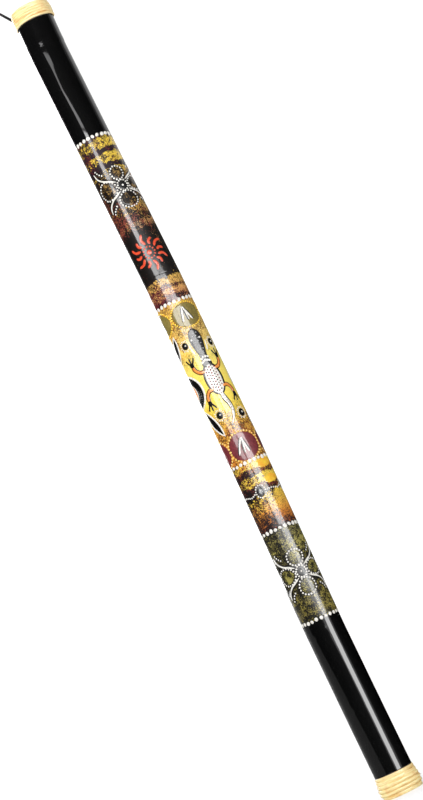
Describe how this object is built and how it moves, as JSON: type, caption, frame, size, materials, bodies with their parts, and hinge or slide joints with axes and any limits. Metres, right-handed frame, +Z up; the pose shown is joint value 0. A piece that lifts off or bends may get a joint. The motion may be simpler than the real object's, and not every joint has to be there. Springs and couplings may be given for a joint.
{
  "type": "rainstick",
  "caption": "Long black lacquered bamboo rainstick with painted dot-work bands, cane-bound ends, inner cane pins and loose seeds, and a small hanging loop.",
  "frame": {"origin": "centre of the lower end face, the one that the stick stands on", "axes": "+Z runs up the stick to the end with the hanging loop, +X is the side that the culm bows towards, and the loop is at -X, +Y"},
  "size_m": [0.0748, 0.068, 1.2237],
  "materials": {
    "black_lacquer": "high gloss black lacquer over bamboo, painted with dot work",
    "cane": "satin, natural split cane",
    "end_wood": "satin, sanded wood",
    "pin_wood": "matte, raw bamboo",
    "seed": "satin, hard dry seed",
    "dark_glue": "semi gloss dark brown glue",
    "black_cord": "matte waxed cord"
  },
  "bodies": {
    "stick": {"bamboo_tube": "black_lacquer", "bottom_end_plug": "end_wood", "top_end_plug": "end_wood", "bottom_cane_binding": "cane", "top_cane_binding": "cane", "bottom_glue_bed": "dark_glue", "top_glue_bed": "dark_glue", "hanging_loop": "black_cord", "cane_pins_000_deg": "pin_wood", "cane_pins_030_deg": "pin_wood", "cane_pins_060_deg": "pin_wood", "cane_pins_090_deg": "pin_wood", "cane_pins_120_deg": "pin_wood", "cane_pins_150_deg": "pin_wood"},
    "seeds_01": {"seed_stream_01": "seed"},
    "seeds_02": {"seed_stream_02": "seed"},
    "seeds_03": {"seed_stream_03": "seed"},
    "seeds_04": {"seed_stream_04": "seed"},
    "seeds_05": {"seed_stream_05": "seed"},
    "seeds_06": {"seed_stream_06": "seed"},
    "seeds_07": {"seed_stream_07": "seed"},
    "seeds_08": {"seed_stream_08": "seed"},
    "seeds_09": {"seed_stream_09": "seed"},
    "seeds_10": {"seed_stream_10": "seed"},
    "seeds_11": {"seed_stream_11": "seed"},
    "seeds_12": {"seed_stream_12": "seed"}
  },
  "joints": [
    {"name": "seeds_fall_01", "type": "slide", "parent": "stick", "child": "seeds_01", "axis": [0, 0, 1], "range_m": [0, 1.08405]},
    {"name": "seeds_fall_02", "type": "slide", "parent": "stick", "child": "seeds_02", "axis": [0, 0, 1], "range_m": [0, 1.09415]},
    {"name": "seeds_fall_03", "type": "slide", "parent": "stick", "child": "seeds_03", "axis": [0, 0, 1], "range_m": [0, 1.0891]},
    {"name": "seeds_fall_04", "type": "slide", "parent": "stick", "child": "seeds_04", "axis": [0, 0, 1], "range_m": [0, 1.08405]},
    {"name": "seeds_fall_05", "type": "slide", "parent": "stick", "child": "seeds_05", "axis": [0, 0, 1], "range_m": [0, 1.09415]},
    {"name": "seeds_fall_06", "type": "slide", "parent": "stick", "child": "seeds_06", "axis": [0, 0, 1], "range_m": [0, 1.0891]},
    {"name": "seeds_fall_07", "type": "slide", "parent": "stick", "child": "seeds_07", "axis": [0, 0, 1], "range_m": [0, 1.08405]},
    {"name": "seeds_fall_08", "type": "slide", "parent": "stick", "child": "seeds_08", "axis": [0, 0, 1], "range_m": [0, 1.09415]},
    {"name": "seeds_fall_09", "type": "slide", "parent": "stick", "child": "seeds_09", "axis": [0, 0, 1], "range_m": [0, 1.0891]},
    {"name": "seeds_fall_10", "type": "slide", "parent": "stick", "child": "seeds_10", "axis": [0, 0, 1], "range_m": [0, 1.08405]},
    {"name": "seeds_fall_11", "type": "slide", "parent": "stick", "child": "seeds_11", "axis": [0, 0, 1], "range_m": [0, 1.09415]},
    {"name": "seeds_fall_12", "type": "slide", "parent": "stick", "child": "seeds_12", "axis": [0, 0, 1], "range_m": [0, 1.0891]}
  ]
}
